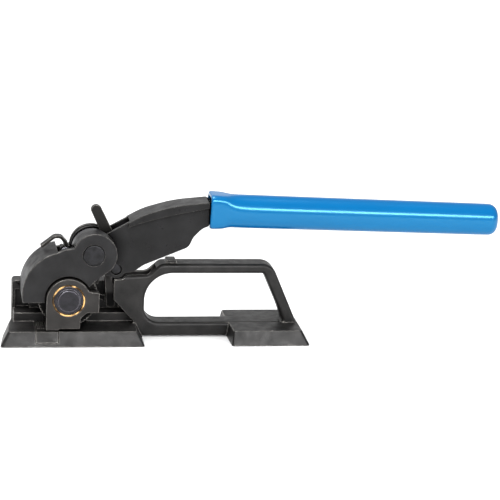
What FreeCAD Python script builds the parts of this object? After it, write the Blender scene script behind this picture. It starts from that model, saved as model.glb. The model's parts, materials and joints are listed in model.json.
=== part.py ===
import FreeCAD, Part
import math
import os

from FreeCAD import Placement, Rotation, Vector

# Feed-wheel tensioner for steel strapping.
# X runs along the strap towards the grip, Y goes in from the open side, Z is up.
# The origin is under the feed shaft's axis, on the sole, in the middle of the strap.

DIMENSIONS = {
    # cast base
    "foot_height": 12.3,
    "foot_front": -20.0,
    "foot_back": 41.0,
    "foot_slope": 5.0,
    "nose_left": -50.0,
    "nose_right": 58.0,
    "heel_left": 140.4,
    "heel_right": 199.5,
    "plug_left": -26.7,
    "plug_right": 9.3,
    "plug_front": -12.1,
    "plug_back": 8.8,
    "plug_low": 5.2,
    "plug_fit": 0.2,
    "tail_right": -8.1,
    "tail_low": 3.2,
    "ledge_front": 9.0,
    "ledge_top": 20.0,
    "wall_front": 23.0,
    "wall_back": 37.0,
    "wall_left": -45.0,
    "wall_top": 44.5,
    "frame_front": 2.5,
    "frame_back": 22.5,
    "pawl_pocket_front": 6.0,
    "pawl_pocket_back": 17.0,
    "beam_bottom": 1.3,
    "beam_top": 12.7,
    "loop_inner_top": 56.0,
    "loop_top": 64.4,
    "loop_left": 66.2,
    "bump_top": 67.2,
    "loop_rounding": 3.0,
    # shaft and wheels
    "shaft_height": 39.3,
    "shaft_radius": 8.0,
    "journal_radius": 12.3,
    "shaft_tip_radius": 9.3,
    "bush_wall": 1.2,
    "wheel_radius": 25.2,
    "wheel_front": -10.0,
    "wheel_back": 8.0,
    "wheel_teeth": 60,
    "tooth_depth": 0.9,
    "ratchet_radius": 23.0,
    "ratchet_root": 20.8,
    "ratchet_teeth": 24,
    "ratchet_front": 9.5,
    "ratchet_back": 14.5,
    # rocker
    "rocker_front": -16.0,
    "rocker_inner_front": -11.5,
    "rocker_inner_back": 19.0,
    "rocker_back": 22.5,
    "hood_x": -1.1,
    "hood_z": 43.1,
    "hood_radius": 37.5,
    "hood_thickness": 8.0,
    "rocker_pin_x": -24.0,
    "rocker_pin_z": 35.5,
    "rocker_pin_radius": 5.0,
    "plate_front": -20.0,
    "plate_back": -13.0,
    "plate_radius": 18.5,
    "plate_foot_gap": 1.1,
    "notch_gap": 1.0,
    # lever and pawls
    "lever_x": 20.5,
    "lever_z": 77.2,
    "ear_x": 21.5,
    "ear_radius": 18.6,
    "back_ear_radius": 18.3,
    "lobe_radius": 17.3,
    "lever_pin_radius": 8.9,
    "washer_radius": 13.0,
    "cheek_front": -1.5,
    "cheek_back": 18.5,
    "cheek_thickness": 3.0,
    "crown_overhang": 1.8,
    "drive_pin_x": 40.8,
    "drive_pin_z": 60.9,
    "drive_pin_radius": 4.5,
    "drive_lobe_radius": 7.5,
    "hold_pin_x": -1.5,
    "hold_pin_z": 74.5,
    "hold_pin_radius": 3.0,
    "running_gap": 0.05,
    "ring_gap": 0.2,
    "ring_thickness": 1.4,
    # grip
    "grip_x": 118.5,
    "grip_z": 110.9,
    "grip_length": 254.0,
    "grip_tilt": 1.64,
    "grip_height": 28.2,
    "grip_width": 25.0,
    "bar_height": 19.6,
    "bar_drop": 1.0,
    "bar_width": 17.0,
    "bar_length": 246.0,
}

doc = FreeCAD.newDocument("strap_tensioner")
sheet = doc.addObject("Spreadsheet::Sheet", "Dims")
for row, (alias, value) in enumerate(DIMENSIONS.items(), start=1):
    sheet.set(f"A{row}", alias)
    sheet.set(f"B{row}", str(value))
    sheet.setAlias(f"B{row}", alias)
doc.recompute()


class Sizes:
    """The sheet's values by alias, for outlines that are worked out in code."""

    def __getattr__(self, alias):
        return float(sheet.get(alias))


dim = Sizes()
sub_parts = []
ALONG_Y = Rotation(Vector(1, 0, 0), -90)
LEVER_MIDDLE = (dim.cheek_front + dim.cheek_back) / 2
MOUTH_X = dim.grip_x - 0.5


def keep(label, item):
    """List a finished sub-part under the name of its file."""
    item.Label = label
    sub_parts.append(item)
    return item


def bind(item, **expressions):
    """Tie properties to the sheet; __ in a name stands for a dot."""
    for name, expression in expressions.items():
        item.setExpression(name.replace("__", "."), expression)


# Outlines: corners are (x, z) or (x, z, radius of the rounding)


def rounded(corners):
    """The lines and arcs of a closed outline through the given corners."""
    count = len(corners)
    entries = []
    for i, corner in enumerate(corners):
        here = Vector(corner[0], corner[1], 0)
        radius = corner[2] if len(corner) > 2 else 0
        if not radius:
            entries.append((here, None, here))
            continue
        before = (Vector(*corners[i - 1][:2], 0) - here).normalize()
        after = (Vector(*corners[(i + 1) % count][:2], 0) - here).normalize()
        half = before.getAngle(after) / 2
        reach = radius / math.tan(half)
        middle = here + (before + after).normalize() * (radius / math.sin(half) - radius)
        entries.append((here + before * reach, middle, here + after * reach))
    geometry = []
    for i, (start, middle, end) in enumerate(entries):
        if middle is not None:
            geometry.append(Part.Arc(start, middle, end))
        following = entries[(i + 1) % count][0]
        if end.distanceToPoint(following) > 1e-6:
            geometry.append(Part.LineSegment(end, following))
    return geometry


def circle(x, z, radius):
    return [Part.Circle(Vector(x, z, 0), Vector(0, 0, 1), radius)]


def polar(radius, degrees, x=0.0, z=0.0):
    """A point at a radius and angle about (x, z)."""
    angle = math.radians(degrees)
    return x + radius * math.cos(angle), z + radius * math.sin(angle)


# PartDesign helpers


def new_body(label, z="0"):
    """An empty body whose own origin is at a height over the sole."""
    body = doc.addObject("PartDesign::Body", label)
    bind(body, Placement__Base__z=z)
    return keep(label, body)


def new_sketch(body, name, role, geometry, offset="0"):
    """A sketch on one of the body's own origin planes, moved along its normal."""
    plane = next(item for item in body.Origin.OriginFeatures if item.Role == role)
    sketch = body.newObject("Sketcher::SketchObject", name)
    sketch.AttachmentSupport = (plane, [""])
    sketch.MapMode = "FlatFace"
    bind(sketch, AttachmentOffset__Base__z=offset)
    sketch.addGeometry(geometry)
    return sketch


def side_pad(body, name, geometry, front, back):
    """Material between two Y positions, with its outline in X and Z."""
    sketch = new_sketch(body, name + "_outline", "XZ_Plane", geometry, f"-({front})")
    pad = body.newObject("PartDesign::Pad", name)
    pad.Profile = sketch
    pad.Reversed = True
    bind(pad, Length=f"({back}) - ({front})")
    doc.recompute()
    return pad


def side_cut(body, name, geometry, front, back):
    """A pocket between two Y positions; it has to take material away."""
    volume = body.Shape.Volume
    sketch = new_sketch(body, name + "_outline", "XZ_Plane", geometry, f"-({front})")
    pocket = body.newObject("PartDesign::Pocket", name)
    pocket.Profile = sketch
    bind(pocket, Length=f"({back}) - ({front})")
    doc.recompute()
    if not body.Shape.Volume < volume:
        raise RuntimeError(f"{name} cuts nothing from {body.Label}")
    return pocket


def loft_up(body, name, low_corners, high_corners, height, base="0"):
    """A block whose plan outline changes from one height to another."""
    low = new_sketch(body, name + "_low", "XY_Plane", rounded(low_corners), base)
    high = new_sketch(body, name + "_high", "XY_Plane", rounded(high_corners), height)
    loft = body.newObject("PartDesign::AdditiveLoft", name)
    loft.Profile = low
    loft.Sections = [high]
    loft.Ruled = True
    doc.recompute()
    return loft


def round_edges(body, name, radius, seeds):
    """Fillet the edges that a test picks out, and all that run on from them."""
    source = body.Tip
    names = [f"Edge{i}" for i, edge in enumerate(source.Shape.Edges, start=1) if seeds(edge)]
    volume = source.Shape.Volume
    fillet = body.newObject("PartDesign::Fillet", name)
    fillet.Base = (source, names)
    fillet.Radius = radius
    doc.recompute()
    if not fillet.Shape.isValid() or not 0 < abs(fillet.Shape.Volume - volume) < 0.1 * volume:
        raise RuntimeError(f"{name} did not round {body.Label}")
    return fillet


# Turned parts along Y: steps are (front, back, radius) expressions


def turning(label, x, z, steps, bore=None):
    """Coaxial cylinders in one piece, with an optional bore right through."""
    solids = []
    for i, (front, back, radius) in enumerate(steps):
        solid = doc.addObject("Part::Cylinder", f"{label}_step{i}")
        solid.Placement = Placement(Vector(0, 0, 0), ALONG_Y)
        bind(solid, Radius=radius, Height=f"({back}) - ({front})")
        bind(solid, Placement__Base__x=x, Placement__Base__y=front, Placement__Base__z=z)
        solids.append(solid)
    whole = solids[0]
    if len(solids) > 1:
        whole = doc.addObject("Part::MultiFuse", f"{label}_steps")
        whole.Shapes = solids
        whole.Refine = True
    if bore:
        hole = doc.addObject("Part::Cylinder", f"{label}_bore")
        hole.Placement = Placement(Vector(0, 0, 0), ALONG_Y)
        front, back = steps[0][0], steps[-1][1]
        bind(hole, Radius=bore, Height=f"({back}) - ({front}) + 2")
        bind(hole, Placement__Base__x=x, Placement__Base__y=f"({front}) - 1")
        bind(hole, Placement__Base__z=z)
        cut = doc.addObject("Part::Cut", f"{label}_cut")
        cut.Base = whole
        cut.Tool = hole
        whole = cut
    return whole


def turned(label, x, z, steps, bore=None):
    """A turned sub-part."""
    return keep(label, turning(label, x, z, steps, bore))


def open_ring(label, x, z, face, inner, width, gap_angle):
    """A snap ring just behind a face, flat, with a slot that looks to gap_angle."""
    front, outer = f"{face} + Dims.ring_gap", f"{inner} + {width}"
    back = f"{front} + Dims.ring_thickness"
    ring = turning(label + "_blank", x, z, [(front, back, outer)], bore=inner)
    half_slot = 1.6
    facing = Rotation(Vector(0, 1, 0), -gap_angle)
    lift = facing.multVec(Vector(0, 0, -half_slot))
    slot = doc.addObject("Part::Box", label + "_slot")
    slot.Placement = Placement(Vector(0, 0, 0), facing)
    bind(slot, Length=f"{outer} + 1", Width="Dims.ring_thickness + 2", Height=str(2 * half_slot))
    bind(slot, Placement__Base__x=f"({x}) + {lift.x}", Placement__Base__z=f"({z}) + {lift.z}")
    bind(slot, Placement__Base__y=f"{front} - 1")
    cut = doc.addObject("Part::Cut", label + "_cut")
    cut.Base = ring
    cut.Tool = slot
    return keep(label, cut)


def torsion_spring(label, x, z, front, back, radius, wire, turns, leg, start_angle):
    """A close coil along Y whose two straight legs leave it on a tangent."""
    pitch = (back - front - wire) / turns
    helix = Part.makeHelix(pitch, pitch * turns, radius)
    first, last = helix.Edges[0], helix.Edges[-1]
    start = first.valueAt(first.FirstParameter)
    start_way = first.tangentAt(first.FirstParameter)
    end = last.valueAt(last.LastParameter)
    end_way = last.tangentAt(last.LastParameter)
    lead_in = Part.LineSegment(start - start_way * leg, start).toShape()
    lead_out = Part.LineSegment(end, end + end_way * leg).toShape()
    path = Part.Wire([lead_in] + helix.Edges + [lead_out])
    section = Part.Wire(Part.Circle(start - start_way * leg, start_way, wire / 2).toShape())
    coil = path.makePipeShell([section], True, True)
    spring = doc.addObject("Part::Feature", label)
    spring.Shape = coil
    turn = Rotation(Vector(0, 1, 0), -start_angle)
    spring.Placement = Placement(Vector(x, front + wire / 2, z), turn.multiply(ALONG_Y))
    return keep(label, spring)


# Base


def base_casting():
    """Two feet, the rear wall, and the beam with its hand loop, in one casting."""
    body = new_body("base_casting")
    inner_top, left_side, beam = dim.loop_inner_top, dim.loop_left, dim.beam_top
    web_left = 39.7
    low, sole_side = dim.beam_bottom, dim.foot_height
    shoulder, root = 54.8, 56.8
    outline = [(web_left, 33.3), (root, 14.3), (root, low), (190, low), (199, sole_side - 1),
               (175.2, dim.loop_top, 14), (79.5, dim.loop_top, 8), (68.6, shoulder, 8),
               (49.5, shoulder - 0.6), (47.0, 51.5), (web_left, 51.5)]
    side_pad(body, "frame", rounded(outline), "Dims.frame_front", "Dims.frame_back")
    opening = [(left_side, beam, 13), (187.0, beam, 2), (181.3, 27.0, 12),
               (168.0, inner_top, 2.5), (left_side, inner_top, 24)]
    side_cut(body, "hand_opening", rounded(opening), "Dims.frame_front", "Dims.frame_back")

    def loop_rim(edge):
        box = edge.BoundBox
        level = box.ZLength < 0.01 and box.XLength > 50
        return level and box.YLength < 0.01 and inner_top - 1 < box.ZMin < dim.loop_top + 1

    round_edges(body, "loop_rims", dim.loop_rounding, loop_rim)

    slope = dim.foot_slope
    front, back = dim.foot_front, dim.foot_back
    left, right = dim.nose_left, dim.nose_right
    taper = 9.0
    nose_low = [(left - slope - 1.8, front - slope, 3), (right + slope + 1.7, front - slope, 2),
                (right + slope + 3, back + slope, 4), (left + taper, back + slope, 12),
                (left - 3, 8, 40)]
    nose_high = [(left, front, 3), (right, front, 2), (right + 2, back, 4),
                 (left + taper + 2, back, 12), (left + 2, 8, 40)]
    loft_up(body, "nose_foot", nose_low, nose_high, "Dims.foot_height")
    left, right = dim.heel_left, dim.heel_right
    skew = 2.4
    heel_low = [(left - 1.6, front - slope, 2), (right + slope + 1.8, front - slope, 3),
                (right + slope + 1.8, back + slope, 4), (left - skew - 1.5, back + slope, 4)]
    heel_high = [(left, front, 2), (right, front, 3), (right, back, 4), (left - skew, back, 4)]
    loft_up(body, "heel_foot", heel_low, heel_high, "Dims.foot_height")

    pawl_reach = 57.0
    swing = circle(dim.lever_x, dim.lever_z, pawl_reach)
    side_cut(body, "pawl_pocket", swing, "Dims.pawl_pocket_front", "Dims.pawl_pocket_back")

    bump = [(83.0, 62.0), (93.5, 62.0), (92.5, dim.bump_top, 1.5), (84.5, dim.bump_top, 1.5)]
    side_pad(body, "handle_stop", rounded(bump), "Dims.frame_front + 4", "Dims.frame_back - 4")
    right_end = 60.0
    ledge = [(dim.wall_left + 1, 6), (right_end, 6), (right_end, dim.ledge_top),
             (dim.wall_left + 1, dim.ledge_top)]
    side_pad(body, "strap_guide_ledge", rounded(ledge), "Dims.ledge_front", "Dims.wall_front")
    wall = [(dim.wall_left, 6), (64.0, 6), (64.0, 26.0, 8), (50.0, dim.wall_top, 10),
            (dim.wall_left, dim.wall_top, 3)]
    side_pad(body, "rear_wall", rounded(wall), "Dims.wall_front - 0.3", "Dims.wall_back")
    joint = [(46.0, 10.0), (61.0, 10.0), (61.0, 24.0), (50.0, 40.0), (46.0, 40.0)]
    side_pad(body, "wall_joint", rounded(joint), "Dims.frame_back - 1", "Dims.wall_front + 1")

    recess = [(-42.3, dim.ledge_top), (-30.0, dim.ledge_top), (-30.0, 36.5), (-42.3, 36.5)]
    side_cut(body, "wall_recess", rounded(recess), "Dims.wall_front - 1", "Dims.wall_front + 5")
    floor = dim.foot_height
    relief = [(-17.5, floor), (17.5, floor), (19.5, 21.0), (-19.5, 21.0)]
    side_cut(body, "ratchet_relief", rounded(relief), "Dims.ledge_front", "Dims.wall_front - 3")
    fit = dim.plug_fit
    left, tail_right, right = dim.plug_left - fit, dim.tail_right + fit, dim.plug_right + fit
    open_top = dim.foot_height + 1
    low = dim.tail_low - fit
    plug_slot = [(left, open_top), (left, low), (tail_right, low), (tail_right, open_top)]
    side_cut(body, "plug_slot", rounded(plug_slot), "Dims.foot_front - 6", "Dims.plug_front")
    low = dim.plug_low - fit
    plug_seat = [(left, open_top), (left, low), (right, low), (right, open_top)]
    seat_front = "Dims.plug_front - Dims.plug_fit"
    side_cut(body, "plug_seat", rounded(plug_seat), seat_front, "Dims.ledge_front")
    pin_bore = circle(dim.rocker_pin_x, dim.rocker_pin_z, dim.rocker_pin_radius + dim.running_gap)
    side_cut(body, "rocker_pin_bore", pin_bore, "Dims.wall_front - 1", "Dims.wall_back")
    anchor_bore = circle(-12.0, 33.0, 2.0)
    side_cut(body, "anchor_bore", anchor_bore, "Dims.wall_back - 6", "Dims.wall_back")
    return body


def gripper_plug():
    """Hardened insert under the feed wheel, with teeth across the strap."""
    body = new_body("gripper_plug")
    left, right, low = dim.plug_left, dim.tail_right, dim.tail_low
    low_front = dim.foot_front - dim.foot_slope * (1 - low / dim.foot_height)

    def tail(front):
        return [(left, front), (right, front), (right, dim.plug_front), (left, dim.plug_front)]

    loft_up(body, "tail", tail(low_front), tail(dim.foot_front), "Dims.foot_height", str(low))
    teeth, pitch, depth = 20, 1.75, 0.7
    right, low, root = dim.plug_right, dim.plug_low, dim.foot_height
    corners = [(left, low), (right, low), (right, root)]
    for tooth in range(teeth):
        x = right - tooth * pitch
        corners += [(x - pitch / 2, root + depth), (x - pitch, root)]
    corners.append((left, root))
    side_pad(body, "toothed_pad", rounded(corners), "Dims.plug_front", "Dims.plug_back")
    return body


# Rocker


HOOD_START = 191.0
HOOD_END = 103.0


def hood_point(radius, degrees):
    return polar(radius, degrees, dim.hood_x, dim.hood_z)


def hood_band():
    """The thick curved band of the housing, from its lower left end to its top."""
    outer, inner = dim.hood_radius, dim.hood_radius - dim.hood_thickness
    angles = (HOOD_START, (HOOD_START + HOOD_END) / 2, HOOD_END)
    points = [Vector(*hood_point(radius, a), 0) for radius in (outer, inner) for a in angles]
    return [Part.Arc(*points[:3]), Part.LineSegment(points[2], points[5]),
            Part.Arc(*points[5:2:-1]), Part.LineSegment(points[3], points[0])]


def ear_arc():
    """Three points on the ear round the lever pin, from the roof to the heel."""
    return [Vector(*polar(dim.ear_radius, a, dim.ear_x, dim.lever_z), 0) for a in (161, 60, -42)]


def rocker_face():
    """The front plate: hood edge, ear round the lever pin, notch round the bearing plate."""
    shaft_z = dim.shaft_height
    notch = dim.plate_radius + dim.notch_gap
    hood = [Vector(*hood_point(dim.hood_radius, a), 0) for a in (HOOD_START, 145, HOOD_END)]
    bottom = hood[0].y
    roof = Vector(3.2, 83.1, 0)
    roof_start = Vector(-4.0, 82.2, 0)
    ear = ear_arc()
    heel = Vector(22.0, 54.4, 0)
    notch_start = math.degrees(math.asin((49.2 - shaft_z) / notch))
    notch_end = 180 + math.degrees(math.asin((shaft_z - bottom) / notch))
    notch_arc = [Vector(*polar(notch, a, 0, shaft_z), 0) for a in (notch_start, 100, notch_end)]
    return [Part.Arc(*hood), Part.LineSegment(hood[2], roof_start),
            Part.LineSegment(roof_start, roof), Part.LineSegment(roof, ear[0]),
            Part.Arc(*ear), Part.LineSegment(ear[2], heel),
            Part.LineSegment(heel, notch_arc[0]), Part.Arc(*notch_arc),
            Part.LineSegment(notch_arc[2], hood[0])]


def rocker_housing():
    """Curved housing that carries the feed shaft, both pawl pins and the lever."""
    body = new_body("rocker_housing")
    side_pad(body, "front_plate", rocker_face(), "Dims.rocker_front", "Dims.rocker_inner_front")
    side_pad(body, "hood", hood_band(), "Dims.rocker_inner_front - 1", "Dims.rocker_back")
    middle = dim.hood_radius - dim.hood_thickness / 2
    back_plate = [hood_point(middle, HOOD_START - 1), hood_point(middle, 160) + (25,),
                  hood_point(middle, 128) + (25,), hood_point(middle, 112), (8.0, 80.0),
                  (30.0, 62.0), (17.0, 30.0, 12), (0.0, 21.5, 12), (-14.0, 24.0, 10),
                  (-30.0, 25.0, 9)]
    side_pad(body, "back_plate", rounded(back_plate), "Dims.rocker_inner_back", "Dims.rocker_back")
    collar_front, collar_back = "Dims.rocker_inner_front - 1", "Dims.cheek_front - 1"
    arc = ear_arc()
    collar = [Part.Arc(*arc), Part.LineSegment(arc[2], arc[0])]
    side_pad(body, "ear_collar", collar, collar_front, collar_back)
    core = circle(dim.lever_x, dim.lever_z, dim.lever_pin_radius + 5)
    side_pad(body, "ear_core", core, collar_front, collar_back)
    back_ear = circle(dim.lever_x, dim.lever_z, dim.back_ear_radius)
    side_pad(body, "back_ear", back_ear, "Dims.rocker_inner_back", "Dims.rocker_back")
    pin_boss = circle(dim.rocker_pin_x, dim.rocker_pin_z, 8.0)
    side_pad(body, "pin_boss", pin_boss, "Dims.rocker_inner_back - 3", "Dims.rocker_back")
    shaft_bush = circle(0, dim.shaft_height, dim.shaft_radius + 2.6)
    side_cut(body, "rear_bush_bore", shaft_bush, "Dims.rocker_inner_back - 1", "Dims.rocker_back")
    lever_bore = circle(dim.lever_x, dim.lever_z, dim.lever_pin_radius)
    side_cut(body, "lever_pin_bore", lever_bore, "Dims.rocker_front", "Dims.rocker_back")
    pawl_bore = circle(dim.hold_pin_x, dim.hold_pin_z, dim.hold_pin_radius)
    side_cut(body, "pawl_pin_bore", pawl_bore, "Dims.rocker_inner_front - 2.5", "Dims.rocker_back")
    rocker_bore = circle(dim.rocker_pin_x, dim.rocker_pin_z, dim.rocker_pin_radius)
    side_cut(body, "rocker_pin_bore", rocker_bore, "Dims.rocker_inner_back - 3", "Dims.rocker_back")
    return body


def bearing_plate():
    """Outboard plate that carries the front journal and guides the strap's edge."""
    body = new_body("bearing_plate")
    shaft_z = dim.shaft_height
    low = dim.foot_height + dim.plate_foot_gap
    side = dim.plate_radius
    step = 1.1
    outline = [(-side, low), (-7.6, low), (-7.6, low + step), (9.9, low + step),
               (10.6, 28.6, 7), (25.5, 28.4, 1), (25.7, 45.9, 1.2), (17.0, 46.8, 5),
               (9.0, 54.0), (0, shaft_z), (-side, shaft_z)]
    side_pad(body, "lower_half", rounded(outline), "Dims.plate_front", "Dims.plate_back")
    crown = circle(0, shaft_z, side)
    side_pad(body, "round_top", crown, "Dims.plate_front", "Dims.plate_back")
    bush = circle(0, shaft_z, dim.journal_radius + dim.running_gap + dim.bush_wall)
    side_cut(body, "bush_bore", bush, "Dims.plate_front", "Dims.plate_back")
    return body


def rocker_small_parts():
    journal = "Dims.journal_radius + Dims.running_gap"
    shaft = "Dims.shaft_radius + Dims.running_gap"
    height = "Dims.shaft_height"
    turned("front_bushing", "0", height,
           [("Dims.plate_front - 0.6", "Dims.plate_back", f"{journal} + Dims.bush_wall")], journal)
    turned("rear_bushing", "0", height,
           [("Dims.rocker_inner_back - 0.6", "Dims.rocker_back", "Dims.shaft_radius + 2.6")], shaft)
    turned("lever_pivot_pin", "Dims.lever_x", "Dims.lever_z",
           [("Dims.rocker_front - 0.9", "Dims.rocker_back + 2.8", "Dims.lever_pin_radius")])
    open_ring("lever_pin_ring", "Dims.lever_x", "Dims.lever_z", "Dims.rocker_back",
              "Dims.lever_pin_radius", 3.0, 30)
    turned("lever_spacer", "Dims.lever_x", "Dims.lever_z",
           [("Dims.cheek_front - 0.9", "Dims.cheek_front - 0.1", "Dims.washer_radius")],
           "Dims.lever_pin_radius")
    turned("rocker_pivot_pin", "Dims.rocker_pin_x", "Dims.rocker_pin_z",
           [("Dims.rocker_inner_back - 3.5", "Dims.wall_back + 8", "Dims.rocker_pin_radius")])
    open_ring("rocker_pin_ring", "Dims.rocker_pin_x", "Dims.rocker_pin_z", "Dims.wall_back + 5.8",
              "Dims.rocker_pin_radius", 2.6, 120)
    turned("holding_pawl_pin", "Dims.hold_pin_x", "Dims.hold_pin_z",
           [("Dims.rocker_inner_front - 2.3", "Dims.rocker_back", "Dims.hold_pin_radius")])


# Feed train


def feed_shaft():
    """Stepped shaft: front tip, wide front journal, and a rear journal."""
    return turned("feed_shaft", "0", "Dims.shaft_height",
                  [("Dims.plate_front - 2.4", "Dims.plate_front + 0.6", "Dims.shaft_tip_radius"),
                   ("Dims.plate_front + 0.6", "Dims.wheel_front - 0.6", "Dims.journal_radius"),
                   ("Dims.wheel_front - 0.6", "Dims.rocker_back - 0.2", "Dims.shaft_radius")])


def feed_wheel():
    """Serrated wheel that pulls the upper strap."""
    body = new_body("feed_wheel", z="Dims.shaft_height")
    rim = circle(0, 0, dim.wheel_radius)
    side_pad(body, "rim", rim, "Dims.wheel_front", "Dims.wheel_back")
    half = dim.tooth_depth * 0.95
    groove_outline = [(-half, dim.wheel_radius + 0.1), (0, dim.wheel_radius - dim.tooth_depth),
                      (half, dim.wheel_radius + 0.1)]
    groove = side_cut(body, "groove", rounded(groove_outline), "Dims.wheel_front", "Dims.wheel_back")
    pattern = body.newObject("PartDesign::PolarPattern", "grooves")
    pattern.Originals = [groove]
    pattern.Axis = (groove.Profile[0], ["N_Axis"])
    pattern.Angle = 360
    pattern.Occurrences = int(dim.wheel_teeth)
    body.Tip = pattern
    doc.recompute()
    side_cut(body, "bore", circle(0, 0, dim.shaft_radius), "Dims.wheel_front", "Dims.wheel_back")
    return body


RATCHET_PHASE = -5.0


def ratchet_wheel():
    """Saw-toothed wheel beside the feed wheel; its steep faces look clockwise."""
    body = new_body("ratchet_wheel", z="Dims.shaft_height")
    corners = []
    pitch = 360 / dim.ratchet_teeth
    for tooth in range(int(dim.ratchet_teeth)):
        face = RATCHET_PHASE + tooth * pitch
        corners.append(polar(dim.ratchet_root, face))
        corners.append(polar(dim.ratchet_radius, face))
    side_pad(body, "toothed_disc", rounded(corners), "Dims.ratchet_front", "Dims.ratchet_back")
    bore = circle(0, 0, dim.shaft_radius)
    side_cut(body, "bore", bore, "Dims.ratchet_front", "Dims.ratchet_back")
    return body


def feed_small_parts():
    open_ring("shaft_ring", "0", "Dims.shaft_height", "Dims.ratchet_back",
              "Dims.shaft_radius", 3.2, 60)
    turned("wheel_spacer", "0", "Dims.shaft_height",
           [("Dims.wheel_back + Dims.running_gap", "Dims.ratchet_front - Dims.running_gap",
             "Dims.washer_radius")], "Dims.shaft_radius")


# Handle


def crown_line():
    """Top of the lever, from behind the ear to the grip's mouth."""
    return [(30.4, 91.3), (63.4, 109.6, 60), (89.4, 117.2, 120), (MOUTH_X, 119.9)]


def cheek_outline():
    """Side view of the channel from the lever pin to the bar inside the grip."""
    return [(dim.lever_x, dim.lever_z)] + crown_line() + [
        (MOUTH_X, 98.9), (112.4, 96.6, 12), (105.4, 89.2, 12), (101.6, 80.6, 8),
        (64.0, 65.0, 14), (55.5, 58.9, 8), (47.5, 57.5), (dim.drive_pin_x, dim.drive_pin_z)]


def handle_channel():
    """Pressed-steel lever: two cheeks, a crown over them, and the bar in the grip."""
    body = new_body("handle_channel")
    front, back = "Dims.cheek_front", "Dims.cheek_back"
    thickness = "Dims.cheek_thickness"
    side_pad(body, "cheeks", rounded(cheek_outline()), front, back)
    lever_lobe = circle(dim.lever_x, dim.lever_z, dim.lobe_radius)
    side_pad(body, "lever_lobe", lever_lobe, front, back)
    drive_lobe = circle(dim.drive_pin_x, dim.drive_pin_z, dim.drive_lobe_radius)
    side_pad(body, "drive_lobe", drive_lobe, front, back)
    gusset = [(15.5, 60.6), (dim.lever_x, dim.lever_z), (dim.drive_pin_x, dim.drive_pin_z),
              (38.6, 53.75)]
    side_pad(body, "lobe_gusset", rounded(gusset), front, back)

    tilt = math.radians(dim.grip_tilt)
    along = Vector(math.cos(tilt), -math.sin(tilt), 0)
    across = Vector(math.sin(tilt), math.cos(tilt), 0)
    start = Vector(dim.grip_x, dim.grip_z, 0)

    def on_bar(distance, height, radius=0.0):
        point = start + along * distance + across * (height - dim.bar_drop)
        return point.x, point.y, radius

    half, length = dim.bar_height / 2, dim.bar_length
    bar = [on_bar(-2, half), on_bar(length, half, 9), on_bar(length, -half, 9), on_bar(-2, -half)]
    side_pad(body, "bar", rounded(bar), f"{LEVER_MIDDLE} - Dims.bar_width / 2",
             f"{LEVER_MIDDLE} + Dims.bar_width / 2")

    line = crown_line()
    band_left = 50.0
    slope = (line[1][1] - line[0][1]) / (line[1][0] - line[0][0])
    band_start = (band_left, line[0][1] + slope * (band_left - line[0][0]))
    band = [band_start] + line[1:] + [(MOUTH_X, 114.8), (84.0, 108.2, 300), (57.0, 100.8, 3),
                                      (band_left + 0.5, 98.0)]
    overhang = "Dims.crown_overhang"
    side_pad(body, "crown", rounded(band), f"{front} - {overhang}", f"{back} + {overhang}")

    inside_front, inside_back = f"{front} + {thickness}", f"{back} - {thickness}"
    slot = [(-5.0, 50.0), (52.0, 50.0), (60.0, 50.0), (100.0, 66.0), (118.0, 92.0),
            on_bar(length - 5, -half - 2), on_bar(length - 5, half - 3.5), on_bar(0, half - 3.5),
            (104.0, 114.9), (89.4, 113.6), (64.4, 106.0), (52.0, 99.4), (49.0, 112.0),
            (-5.0, 112.0)]
    side_cut(body, "channel_inside", rounded(slot), inside_front, inside_back)

    lever_bore = circle(dim.lever_x, dim.lever_z, dim.lever_pin_radius + dim.running_gap)
    side_cut(body, "lever_bore", lever_bore, front, back)
    drive_bore = circle(dim.drive_pin_x, dim.drive_pin_z, dim.drive_pin_radius)
    side_cut(body, "drive_bore", drive_bore, front, back)
    return body


def handle_grip():
    """Thick vinyl sleeve: an oblong tube, swollen at its mouth and closed at its end."""
    length, height, width = dim.grip_length, dim.grip_height, dim.grip_width
    flat = 5.0

    def oblong(distance, tall, wide):
        corner = (wide - flat) / 2
        up, out = tall / 2, wide / 2
        outline = rounded([(-up, -out, corner), (up, -out, corner),
                           (up, out, corner), (-up, out, corner)])
        wire = Part.Wire([piece.toShape() for piece in outline])
        wire.Placement = Placement(Vector(distance, 0, 0), Rotation(Vector(0, 1, 0), -90))
        return wire

    swell, cap = 2.6, 9.0
    stations = [(0.0, 1.0), (6.0, 0.8), (14.0, 0.35), (30.0, 0.0), (length * 0.6, -0.1)]
    sections = [oblong(s, height + swell * k, width + swell * k) for s, k in stations]
    end_start = length - cap
    end_height = height - 1.2
    for step in range(5):
        angle = math.radians(step * 19.0)
        shrink = math.cos(angle)
        reach = end_start + cap * math.sin(angle)
        size = 0.4 + 0.6 * shrink
        sections.append(oblong(reach, end_height * size, width * size))
    sleeve = Part.makeLoft(sections, True, False)
    clearance = 0.05
    tall, wide = dim.bar_height + 2 * clearance, dim.bar_width + 2 * clearance
    core = Part.makeBox(dim.bar_length + clearance + 1, wide, tall,
                        Vector(-1, -wide / 2, -tall / 2 - dim.bar_drop))
    grip = doc.addObject("Part::Feature", "handle_grip")
    grip.Shape = sleeve.cut(core)
    grip.Placement = Placement(Vector(dim.grip_x, LEVER_MIDDLE, dim.grip_z),
                               Rotation(Vector(0, 1, 0), dim.grip_tilt))
    return keep("handle_grip", grip)


def handle_small_parts():
    inside_front = "Dims.cheek_front + Dims.cheek_thickness"
    turned("hub_sleeve", "Dims.lever_x", "Dims.lever_z",
           [(inside_front, "Dims.ratchet_front - 0.3", "Dims.lobe_radius - 0.3")],
           "Dims.lever_pin_radius + Dims.running_gap")
    turned("drive_pawl_pin", "Dims.drive_pin_x", "Dims.drive_pin_z",
           [("Dims.cheek_front + 1.4", "Dims.cheek_back - 0.4", "Dims.drive_pin_radius")])


# Pawls


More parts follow.
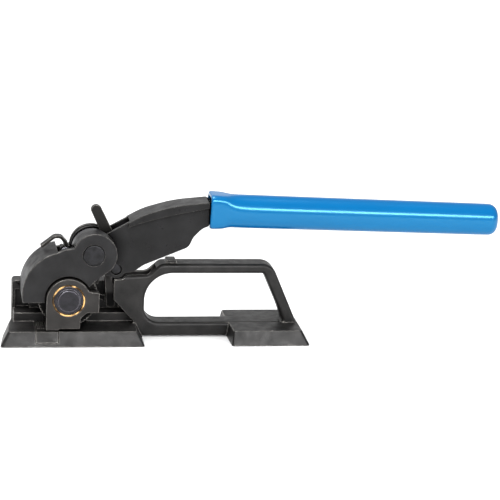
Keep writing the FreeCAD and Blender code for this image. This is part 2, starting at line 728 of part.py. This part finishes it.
def drive_pawl():
    """Hook that pulls the ratchet round, with the finger tail above the lever hub."""
    body = new_body("drive_pawl")
    x, z = dim.drive_pin_x, dim.drive_pin_z
    front, back = "Dims.ratchet_front + 0.3", "Dims.ratchet_back - 0.2"
    wide_front, wide_back = "Dims.frame_front + 4.2", "Dims.ratchet_back + 0.6"
    bar = [(x - 6.5, z - 1.0), (32.0, 52.0, 3), (34.0, 25.2, 3), (41.6, 25.2, 3),
           (41.6, 38.0, 3), (37.4, 52.0), (x, z - 7)]
    side_pad(body, "bar", rounded(bar), wide_front, wide_back)
    side_pad(body, "boss", circle(x, z, 7.0), wide_front, wide_back)
    shaft_z = dim.shaft_height
    tooth = [polar(21.4, RATCHET_PHASE - 1.3, 0, shaft_z), (35.0, 35.4), (35.0, 28.6),
             polar(22.5, RATCHET_PHASE - 7.5, 0, shaft_z)]
    side_pad(body, "hook_tooth", rounded(tooth), front, back)
    finger = [(x - 6.5, z), (29.9, 86.0, 20), (18.9, 110.0, 3), (22.3, 117.0, 4.5),
              (27.8, 112.0, 4), (38.8, 90.0, 20), (x + 6.9, z)]
    side_pad(body, "finger", rounded(finger), front, back)
    bore = circle(x, z, dim.drive_pin_radius + dim.running_gap)
    side_cut(body, "bore", bore, wide_front, wide_back)
    return body


def holding_pawl():
    """Hook that holds the ratchet between strokes, with a bent thumb tab."""
    body = new_body("holding_pawl")
    x, z = dim.hold_pin_x, dim.hold_pin_z
    shaft_z = dim.shaft_height
    front, back = "Dims.ratchet_front + 0.2", "Dims.ratchet_back - 0.2"
    face = RATCHET_PHASE + 2 * 360 / dim.ratchet_teeth
    arm = [polar(21.4, face - 1.4, 0, shaft_z), polar(24.0, face - 2.6, 0, shaft_z),
           polar(24.6, 38, 0, shaft_z) + (3,), polar(26.0, 62, 0, shaft_z) + (20,),
           (x - 3.0, z - 4.5), (x + 3.0, z + 4.5), (13.5, 68.2, 12), (25.5, 58.5, 6),
           (28.3, 50.0, 3), (26.6, 44.6, 1), polar(22.9, face - 9.3, 0, shaft_z)]
    side_pad(body, "arm", rounded(arm), front, back)
    side_pad(body, "boss", circle(x, z, 4.8), front, back)
    strip = 2.4
    bend = 85.8
    tab = [(x - 1.6, z + 3.0), (x - 1.6, 81.5, 2), (-6.2, bend, 2.5), (-10.6, bend, 3),
           (-21.2, 77.2), (-22.7, 79.2), (-11.2, bend + strip, 3 + strip),
           (-5.2, bend + strip, 2.5 + strip), (x + 1.6, 82.4, 2), (x + 2.4, z + 3.0)]
    side_pad(body, "thumb_tab", rounded(tab), "Dims.wheel_back - 1.5", back)
    bore = circle(x, z, dim.hold_pin_radius + dim.running_gap)
    side_cut(body, "bore", bore, "Dims.wheel_back - 1.5", back)
    return body


def springs():
    torsion_spring("drive_pawl_spring", dim.drive_pin_x, dim.drive_pin_z,
                   dim.cheek_front + 3.4, dim.frame_front + 3.8,
                   radius=5.4, wire=0.9, turns=3, leg=7.0, start_angle=150)
    torsion_spring("holding_pawl_spring", dim.hold_pin_x, dim.hold_pin_z,
                   dim.cheek_front + 4.0, dim.wheel_back - 1.8,
                   radius=3.8, wire=0.8, turns=3, leg=5.0, start_angle=272)
    torsion_spring("rocker_spring", dim.rocker_pin_x, dim.rocker_pin_z,
                   dim.wall_back + 0.4, dim.wall_back + 5.6,
                   radius=6.4, wire=1.4, turns=3, leg=8.0, start_angle=60)
    turned("spring_anchor", "-12", "33",
           [("Dims.wall_back - 6", "Dims.wall_back + 6", "2")])


base_casting()
gripper_plug()
rocker_housing()
bearing_plate()
rocker_small_parts()
feed_shaft()
feed_wheel()
ratchet_wheel()
feed_small_parts()
handle_channel()
handle_small_parts()
handle_grip()
drive_pawl()
holding_pawl()
springs()
doc.recompute()

for item in doc.Objects:
    if "Invalid" in item.State or "Error" in item.State:
        raise RuntimeError(f"{item.Label} did not compute: {item.State}")
for item in sub_parts:
    if item.Shape.isNull() or not item.Shape.isValid():
        raise RuntimeError(f"{item.Label} has no valid shape")

os.makedirs("parts", exist_ok=True)
for item in sub_parts:
    item.Shape.exportStep(os.path.join("parts", item.Label + ".step"))
    print(f"{item.Label}: {len(item.Shape.Solids)} solid, {item.Shape.Volume / 1000:.2f} cm3")
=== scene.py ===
import json
import math
import bmesh
import bpy
from mathutils import Matrix, Vector


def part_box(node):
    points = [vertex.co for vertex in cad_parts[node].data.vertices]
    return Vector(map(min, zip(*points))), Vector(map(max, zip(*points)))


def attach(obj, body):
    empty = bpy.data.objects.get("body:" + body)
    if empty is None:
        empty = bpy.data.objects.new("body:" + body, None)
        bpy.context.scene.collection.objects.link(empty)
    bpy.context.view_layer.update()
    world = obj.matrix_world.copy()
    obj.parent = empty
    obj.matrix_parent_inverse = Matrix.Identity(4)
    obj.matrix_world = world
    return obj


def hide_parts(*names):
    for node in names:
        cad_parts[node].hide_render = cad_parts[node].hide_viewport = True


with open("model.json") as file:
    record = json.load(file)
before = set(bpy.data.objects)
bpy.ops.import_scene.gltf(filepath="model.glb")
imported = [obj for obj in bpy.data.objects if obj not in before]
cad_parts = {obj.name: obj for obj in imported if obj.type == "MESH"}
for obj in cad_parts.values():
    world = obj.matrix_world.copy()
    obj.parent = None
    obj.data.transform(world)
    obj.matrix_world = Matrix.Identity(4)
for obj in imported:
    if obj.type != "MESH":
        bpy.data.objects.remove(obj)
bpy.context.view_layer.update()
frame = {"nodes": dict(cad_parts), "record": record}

MM = 0.001


# Camera, light and floor


def add_camera():
    """A long lens from the open side, a little above and slightly tilted."""
    azimuth, elevation, roll = math.radians(-10), math.radians(15.5), math.radians(2.8)
    distance = 1.7
    target = Vector((0.15445, 0, 0.07797))
    back = Vector((math.sin(azimuth) * math.cos(elevation),
                   -math.cos(azimuth) * math.cos(elevation), math.sin(elevation)))
    level = Vector((math.cos(azimuth), math.sin(azimuth), 0))
    upright = back.cross(level)
    right = level * math.cos(roll) + upright * math.sin(roll)
    up = upright * math.cos(roll) - level * math.sin(roll)
    data = bpy.data.cameras.new("camera")
    data.lens = 144
    data.sensor_width = 36
    camera = bpy.data.objects.new("camera", data)
    bpy.context.collection.objects.link(camera)
    placed = Matrix((right, up, back)).transposed().to_4x4()
    placed.translation = target + back * distance
    camera.matrix_world = placed
    bpy.context.scene.camera = camera


def add_area(name, place, aim, width, depth, power):
    """A soft rectangular lamp at a place, turned to a point."""
    data = bpy.data.lights.new(name, "AREA")
    data.shape = "RECTANGLE"
    data.size = width
    data.size_y = depth
    data.energy = power
    lamp = bpy.data.objects.new(name, data)
    bpy.context.collection.objects.link(lamp)
    lamp.location = place
    lamp.rotation_euler = (Vector(aim) - Vector(place)).to_track_quat("-Z", "Y").to_euler()


def add_stage():
    """A pale floor under a soft high sun, a long softbox in front and a bright back panel."""
    scene = bpy.context.scene
    scene.view_settings.view_transform = "Standard"
    world = bpy.data.worlds.new("studio")
    world.use_nodes = True
    world.node_tree.nodes["Background"].inputs["Color"].default_value = (1, 1, 1, 1)
    world.node_tree.nodes["Background"].inputs["Strength"].default_value = 0.4
    scene.world = world

    sun = bpy.data.lights.new("sun", "SUN")
    sun.energy = 5.8
    sun.angle = math.radians(50)
    lamp = bpy.data.objects.new("sun", sun)
    bpy.context.collection.objects.link(lamp)
    lamp.rotation_euler = Vector((0.3, -0.05, -1)).to_track_quat("-Z", "Y").to_euler()

    add_area("front_strip", (0.45, -1.15, 0.54), (0.3, 0, 0.1), 2.2, 0.2, 36)
    add_area("back_panel", (0.15, 3.6, 1.3), (0.15, 0, 0.1), 5.0, 1.6, 15)

    half, drop = 6.0, 0.0002
    mesh = bpy.data.meshes.new("floor")
    corners = [(-half, -half, 0), (half, -half, 0), (half, half, 0), (-half, half, 0)]
    mesh.from_pydata(corners, [], [(0, 1, 2, 3)])
    floor = bpy.data.objects.new("floor", mesh)
    floor.location.z = -drop
    bpy.context.collection.objects.link(floor)
    paint = bpy.data.materials.new("floor_paint")
    paint.use_nodes = True
    shader = paint.node_tree.nodes["Principled BSDF"]
    shader.inputs["Base Color"].default_value = (0.62, 0.62, 0.62, 1)
    shader.inputs["Roughness"].default_value = 0.9
    mesh.materials.append(paint)


# Materials

# The colour sockets of a Mix node come after its number and vector sockets.
MIX_FACTOR, MIX_FIRST, MIX_SECOND, MIX_RESULT = 0, 6, 7, 2
# Near-black colour of painted shade and oily grime in corners, also used for the dark band.
SHADE_AND_GRIME = 0.003
SHADE_AND_GRIME_METALLIC = 0.95
# Warm tint of lightened edges: rubbed wear and painted edge highlights.
EDGE_WEAR_AND_HIGHLIGHT_TINT = (1, 0.95, 0.88)


class Recipe:
    """A principled material and short ways to build its pattern nodes."""

    def __init__(self, name):
        self.material = bpy.data.materials.new(name)
        self.material.use_nodes = True
        self.tree = self.material.node_tree
        self.shader = self.tree.nodes["Principled BSDF"]
        self.place = self.add("ShaderNodeTexCoord").outputs["Object"]

    def add(self, kind, **settings):
        """A new node with its settings."""
        node = self.tree.nodes.new(kind)
        for key, value in settings.items():
            setattr(node, key, value)
        return node

    def feed(self, socket, value):
        """Link a socket, or set it where the value is plain."""
        if isinstance(value, bpy.types.NodeSocket):
            self.tree.links.new(value, socket)
        else:
            socket.default_value = value

    def noise(self, scale, detail=4.0, stretch=(1, 1, 1), roughness=0.55):
        """Noise over the piece; scale is features per metre."""
        mapping = self.add("ShaderNodeMapping")
        self.feed(mapping.inputs["Vector"], self.place)
        mapping.inputs["Scale"].default_value = stretch
        noise = self.add("ShaderNodeTexNoise")
        self.feed(noise.inputs["Vector"], mapping.outputs["Vector"])
        noise.inputs["Scale"].default_value = scale
        noise.inputs["Detail"].default_value = detail
        noise.inputs["Roughness"].default_value = roughness
        return noise.outputs["Fac"]

    def ramp(self, value, start, end, low=0.0, high=1.0):
        """The value's stretch from start to end, spread over low to high."""
        spread = self.add("ShaderNodeMapRange", clamp=True)
        self.feed(spread.inputs["Value"], value)
        spread.inputs["From Min"].default_value = start
        spread.inputs["From Max"].default_value = end
        spread.inputs["To Min"].default_value = low
        spread.inputs["To Max"].default_value = high
        return spread.outputs["Result"]

    def math(self, operation, first, second):
        """Two values joined by an arithmetic operation."""
        node = self.add("ShaderNodeMath", operation=operation)
        self.feed(node.inputs[0], first)
        self.feed(node.inputs[1], second)
        return node.outputs[0]

    def mix(self, factor, first, second):
        """The first colour where the factor is 0, the second where it is 1."""
        node = self.add("ShaderNodeMix", data_type="RGBA")
        self.feed(node.inputs[MIX_FACTOR], factor)
        self.feed(node.inputs[MIX_FIRST], first)
        self.feed(node.inputs[MIX_SECOND], second)
        return node.outputs[MIX_RESULT]

    def edges(self, radius, start=0.015, end=0.09):
        """1 on edges, 0 on flats, from how far a rounded normal leaves the face's own."""
        bevel = self.add("ShaderNodeBevel", samples=6)
        bevel.inputs["Radius"].default_value = radius
        true_normal = self.add("ShaderNodeNewGeometry").outputs["True Normal"]
        dot = self.add("ShaderNodeVectorMath", operation="DOT_PRODUCT")
        self.feed(dot.inputs[0], bevel.outputs["Normal"])
        self.feed(dot.inputs[1], true_normal)
        return self.ramp(dot.outputs["Value"], 1 - start, 1 - end)

    def corner_shade(self, distance):
        """0 in deep corners, 1 in the open; used to paint shade into corners."""
        occlusion = self.add("ShaderNodeAmbientOcclusion", samples=6)
        occlusion.inputs["Distance"].default_value = distance
        return occlusion.outputs["AO"]

    def height(self):
        """Height over the floor at rest."""
        split = self.add("ShaderNodeSeparateXYZ")
        self.feed(split.inputs[0], self.place)
        return split.outputs["Z"]

    def bump(self, height, strength, distance):
        """Relief on the shader's normal; distance is its full height."""
        bump = self.add("ShaderNodeBump")
        self.feed(bump.inputs["Height"], height)
        bump.inputs["Strength"].default_value = strength
        bump.inputs["Distance"].default_value = distance
        self.feed(self.shader.inputs["Normal"], bump.outputs["Normal"])


def rgb(value, tint=(1, 1, 1)):
    """A grey of this value, tinted, with full alpha."""
    return tuple(value * t for t in tint) + (1,)


def blackened(name, dark, light, edge_wear_and_highlight, roughness, metallic=0.3, grain=900, rough_cast=0.5,
              edge_cover=0.75, tint=(1, 0.98, 1.02), dark_band=None, shade=(0.18, 0.62), specular=0.3):
    """Blackened iron or steel: mottled, its corners darkened by painted shade and oily grime, its
    edges lightened by rubbing and by painted edge highlights.

    dark_band names two heights between which the surface is darkened to the same near black as its
    corners.
    """
    r = Recipe(name)
    cloud = r.noise(55, 5.0)
    speckle = r.noise(grain, 3.0)
    blotch = r.ramp(r.math("ADD", cloud, r.math("MULTIPLY", speckle, 0.35)), 0.5, 0.85)
    body = r.mix(blotch, rgb(dark, tint), rgb(light, tint))
    # Painted shade: an ambient-occlusion mask turns corners, hollows and the undersides of overhangs
    # towards near black, standing in for shade as well as real oily grime.
    free_of_painted_shade = r.ramp(r.corner_shade(12 * MM), *shade)
    unshaded_bare = free_of_painted_shade
    if dark_band:
        start, end = dark_band
        above = r.ramp(r.height(), end, end + 3 * MM)
        below = r.ramp(r.height(), start, start + 1 * MM, 1, 0)
        unshaded_bare = r.math("MINIMUM", free_of_painted_shade, r.math("MAXIMUM", above, below))
    body = r.mix(unshaded_bare, rgb(SHADE_AND_GRIME), body)
    # Edges are lightened partly as real rubbed wear and partly as painted edge highlights.
    patchy = r.math("MULTIPLY", r.ramp(r.noise(260, 4.0), 0.36, 0.6, 1 - edge_cover, 1), free_of_painted_shade)
    rubbed_and_highlit = r.math("MULTIPLY", r.edges(1.1 * MM), patchy)
    r.feed(r.shader.inputs["Base Color"], r.mix(rubbed_and_highlit, body, rgb(edge_wear_and_highlight, EDGE_WEAR_AND_HIGHLIGHT_TINT)))
    sheen = r.ramp(r.noise(140, 4.0), 0.3, 0.7, roughness - 0.09, roughness + 0.09)
    r.feed(r.shader.inputs["Roughness"], r.math("SUBTRACT", sheen, r.math("MULTIPLY", rubbed_and_highlit, 0.12)))
    r.feed(r.shader.inputs["Metallic"], r.ramp(unshaded_bare, 0, 1, SHADE_AND_GRIME_METALLIC, metallic))
    r.shader.inputs["Specular IOR Level"].default_value = specular
    r.bump(r.math("ADD", speckle, r.math("MULTIPLY", cloud, 0.6)), rough_cast, 0.25 * MM)
    return r.material


def turned_metal(name, colour, patina, roughness, metallic=0.9, stained=(0.4, 0.66), spots=180,
                 rim=3, rim_width=0.8 * MM, rim_patches=(0.42, 0.6)):
    """Turned or drawn metal with fine grain, a darker patina in patches, and rims made bright partly
    by rubbing and partly as a painted highlight.
    """
    r = Recipe(name)
    stain = r.ramp(r.noise(spots, 3.0), *stained)
    speckle = r.noise(1600, 2.0)
    tone = r.mix(stain, colour, patina)
    # Painted highlight: rims take the base colour times rim, standing in for light caught on the
    # chamfers as well as rubbed wear.
    bright = tuple(min(1, c * rim) for c in colour[:3]) + (1,)
    rubbed_and_highlit = r.math("MULTIPLY", r.edges(rim_width), r.ramp(r.noise(75, 2.0), *rim_patches))
    r.feed(r.shader.inputs["Base Color"], r.mix(rubbed_and_highlit, tone, bright))
    r.feed(r.shader.inputs["Roughness"], r.ramp(speckle, 0.3, 0.7, roughness - 0.08, roughness + 0.1))
    r.shader.inputs["Metallic"].default_value = metallic
    r.bump(speckle, 0.25, 0.08 * MM)
    return r.material


def blue_vinyl():
    """Dipped vinyl: glossy, faintly rippled, with slight variations of its blue."""
    r = Recipe("blue_vinyl")
    cloud = r.noise(18, 3.0, stretch=(0.4, 1, 1))
    ripple = r.noise(120, 2.0, stretch=(0.35, 1, 1))
    shade = r.ramp(cloud, 0.3, 0.7)
    r.feed(r.shader.inputs["Base Color"], r.mix(shade, (0.0, 0.066, 0.19, 1), (0.0, 0.08, 0.22, 1)))
    r.feed(r.shader.inputs["Roughness"], r.ramp(ripple, 0.3, 0.7, 0.17, 0.21))
    r.shader.inputs["Specular IOR Level"].default_value = 0.7
    r.shader.inputs["Specular Tint"].default_value = (0.3, 0.85, 0.95, 1)
    r.bump(ripple, 0.04, 0.2 * MM)
    return r.material


def finishes():
    """One material for every slot of the record."""
    return {
        "base_iron": blackened("base_iron", 0.004, 0.015, 0.36, 0.41, grain=1100, rough_cast=0.6,
                               tint=(1.04, 0.99, 0.96), specular=0.27),
        "housing_iron": blackened("housing_iron", 0.006, 0.014, 0.2, 0.42, grain=1500,
                                  rough_cast=0.35, specular=0.2),
        "handle_steel": blackened("handle_steel", 0.005, 0.01, 0.08, 0.34, grain=2200,
                                  rough_cast=0.12, edge_cover=0.4, shade=(0.5, 0.99), specular=0.2),
        "plate_steel": blackened("plate_steel", 0.013, 0.024, 0.3, 0.42, metallic=0.5, grain=1300,
                                 rough_cast=0.25, tint=(1.08, 1, 0.95)),
        "hard_steel": blackened("hard_steel", 0.003, 0.009, 0.25, 0.38, metallic=0.2, grain=1800,
                                rough_cast=0.2, tint=(1.1, 1, 0.9), dark_band=(14 * MM, 37 * MM),
                                specular=0.18),
        "pin_steel": turned_metal("pin_steel", (0.022, 0.022, 0.024, 1), (0.01, 0.01, 0.01, 1), 0.4),
        # The shaft end's very bright rim is a painted highlight on its lit chamfer.
        "shaft_steel": turned_metal("shaft_steel", (0.027, 0.026, 0.03, 1),
                                    (0.019, 0.019, 0.021, 1), 0.34, rim=16,
                                    rim_patches=(0.2, 0.5)),
        "spring_steel": turned_metal("spring_steel", (0.08, 0.08, 0.09, 1),
                                     (0.04, 0.04, 0.04, 1), 0.32),
        "bronze": turned_metal("bronze", (0.75, 0.45, 0.18, 1), (0.05, 0.03, 0.015, 1), 0.3,
                               stained=(0.42, 0.5), spots=92, rim=1.2, rim_width=0.15 * MM),
        "blue_vinyl": blue_vinyl(),
    }


def dress_frame(materials):
    """Give every CAD node the material of its slot."""
    slots = {part["node"]: part["material_slot"] for part in frame["record"]["subparts"]}
    for name, node in frame["nodes"].items():
        node.data.materials.clear()
        node.data.materials.append(materials[slots[name]])


def soften(name, width, segments=2, angle=28):
    """Round a CAD node's sharp edges with modifiers, and keep its flats flat."""
    node = frame["nodes"][name]
    weld = node.modifiers.new("weld", "WELD")
    weld.merge_threshold = 0.002 * MM
    merge = node.modifiers.new("merge", "DECIMATE")
    merge.decimate_type = "DISSOLVE"
    merge.angle_limit = math.radians(0.5)
    bevel = node.modifiers.new("bevel", "BEVEL")
    bevel.width = width
    bevel.segments = segments
    bevel.limit_method = "ANGLE"
    bevel.angle_limit = math.radians(angle)
    bevel.use_clamp_overlap = False
    bevel.face_strength_mode = "FSTR_ALL"
    normals = node.modifiers.new("normals", "WEIGHTED_NORMAL")
    normals.use_face_influence = True


# Grip


def grip(material):
    """The vinyl sleeve: an oval tube with a thick boxy mouth, a slight taper and a round end."""
    low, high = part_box("handle_grip")
    tilt = math.radians(1.64)
    half_tall, half_wide = 14.1 * MM, 12.5 * MM
    swell, flare, cap = 1.3 * MM, 0.7 * MM, 9.0 * MM
    taper_tall, taper_wide = 0.6 * MM, 0.3 * MM
    mouth_half = half_tall + swell
    start = Vector((low.x + math.sin(tilt) * mouth_half * 2, (low.y + high.y) / 2,
                    high.z - mouth_half * math.cos(tilt)))
    along = Vector((math.cos(tilt), 0, -math.sin(tilt)))
    across = Vector((math.sin(tilt), 0, math.cos(tilt)))
    length = (high.x - low.x) / math.cos(tilt) - 1.2 * MM
    count, steps = 64, 8
    boxy, oval, underside = 5.5, 2.05, 2.9
    mesh = bmesh.new()
    loops = []

    def ring(distance, tall, wide, squareness):
        """One section: a superellipse, round at 2 and boxier above, fuller underneath."""
        loop = []
        for i in range(count):
            angle = 2 * math.pi * (i + 0.5) / count
            c, n = math.cos(angle), math.sin(angle)
            power = 2 / (squareness if n > 0 else max(squareness, underside))
            y = math.copysign(abs(c) ** power, c) * wide
            z = math.copysign(abs(n) ** power, n) * tall
            loop.append(mesh.verts.new(start + along * distance + across * z + Vector((0, y, 0))))
        loops.append(loop)

    # The lip starts inside the mouth: millimetres along, then in from the flared size.
    lip = [(7.0, -4.0), (1.4, -4.0), (0.3, -3.2), (0.0, -2.2), (0.1, -1.1), (0.6, -0.35)]
    for distance, inset in lip:
        ring(distance * MM, half_tall + flare + inset * MM, half_wide + flare + inset * MM, boxy)
    # Behind the lip: millimetres along, extra half height, extra half width, how boxy.
    neck = [(1.8, 0.7, 0.7, 1.0), (5.0, 0.62, 0.7, 1.0), (9.0, 0.45, 0.7, 0.95),
            (12.0, 0.3, 0.6, 0.8), (14.5, 0.1, 0.4, 0.5), (17.0, -0.05, 0.2, 0.25),
            (20.0, -0.12, 0.05, 0.1), (27.0, 0.0, -0.05, 0.02), (36.0, 0.05, 0.0, 0.0)]
    for distance, taller, wider, corner in neck:
        ring(distance * MM, half_tall + taller * MM, half_wide + wider * MM,
             oval + (boxy - oval) * corner)
    neck_end = neck[-1][0] * MM
    straight = length - cap
    for step in range(1, steps + 1):
        distance = neck_end + (straight - neck_end) * step / steps
        ring(distance, half_tall - taper_tall * step / steps,
             half_wide - taper_wide * step / steps, oval)
    # The round end stops just short of a quarter turn, on a small flat.
    for step in range(1, steps + 1):
        turn = math.radians(10.5 * step)
        shrink = math.cos(turn) ** 0.62
        ring(straight + cap * math.sin(turn), (half_tall - taper_tall) * shrink,
             (half_wide - taper_wide) * shrink, oval)
    for first, second in zip(loops, loops[1:]):
        for i in range(count):
            j = (i + 1) % count
            mesh.faces.new((first[i], first[j], second[j], second[i]))
    mesh.faces.new(loops[-1])
    mesh.faces.new(reversed(loops[0]))
    bmesh.ops.recalc_face_normals(mesh, faces=mesh.faces)
    data = bpy.data.meshes.new("vinyl_grip")
    mesh.to_mesh(data)
    mesh.free()
    for face in data.polygons:
        face.use_smooth = True
    data.materials.append(material)
    piece = bpy.data.objects.new("vinyl_grip", data)
    bpy.context.collection.objects.link(piece)
    smooth = piece.modifiers.new("smooth", "SUBSURF")
    smooth.levels = 1
    smooth.render_levels = 1
    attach(piece, "handle")
    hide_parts("handle_grip")


add_camera()
add_stage()
materials = finishes()
dress_frame(materials)
# Millimetres of rounding, and the nodes that get it.
roundings = {
    0.8: ("rocker_housing", "drive_pawl_pin", "lever_pivot_pin", "feed_shaft"),
    0.6: ("base_casting", "bearing_plate", "handle_channel", "rocker_pivot_pin"),
    0.4: ("drive_pawl", "holding_pawl", "gripper_plug", "spring_anchor", "holding_pawl_pin"),
    0.2: ("front_bushing", "rear_bushing", "lever_spacer", "hub_sleeve", "ratchet_wheel"),
}
for rounding, names in roundings.items():
    for name in names:
        soften(name, rounding * MM)
grip(materials["blue_vinyl"])
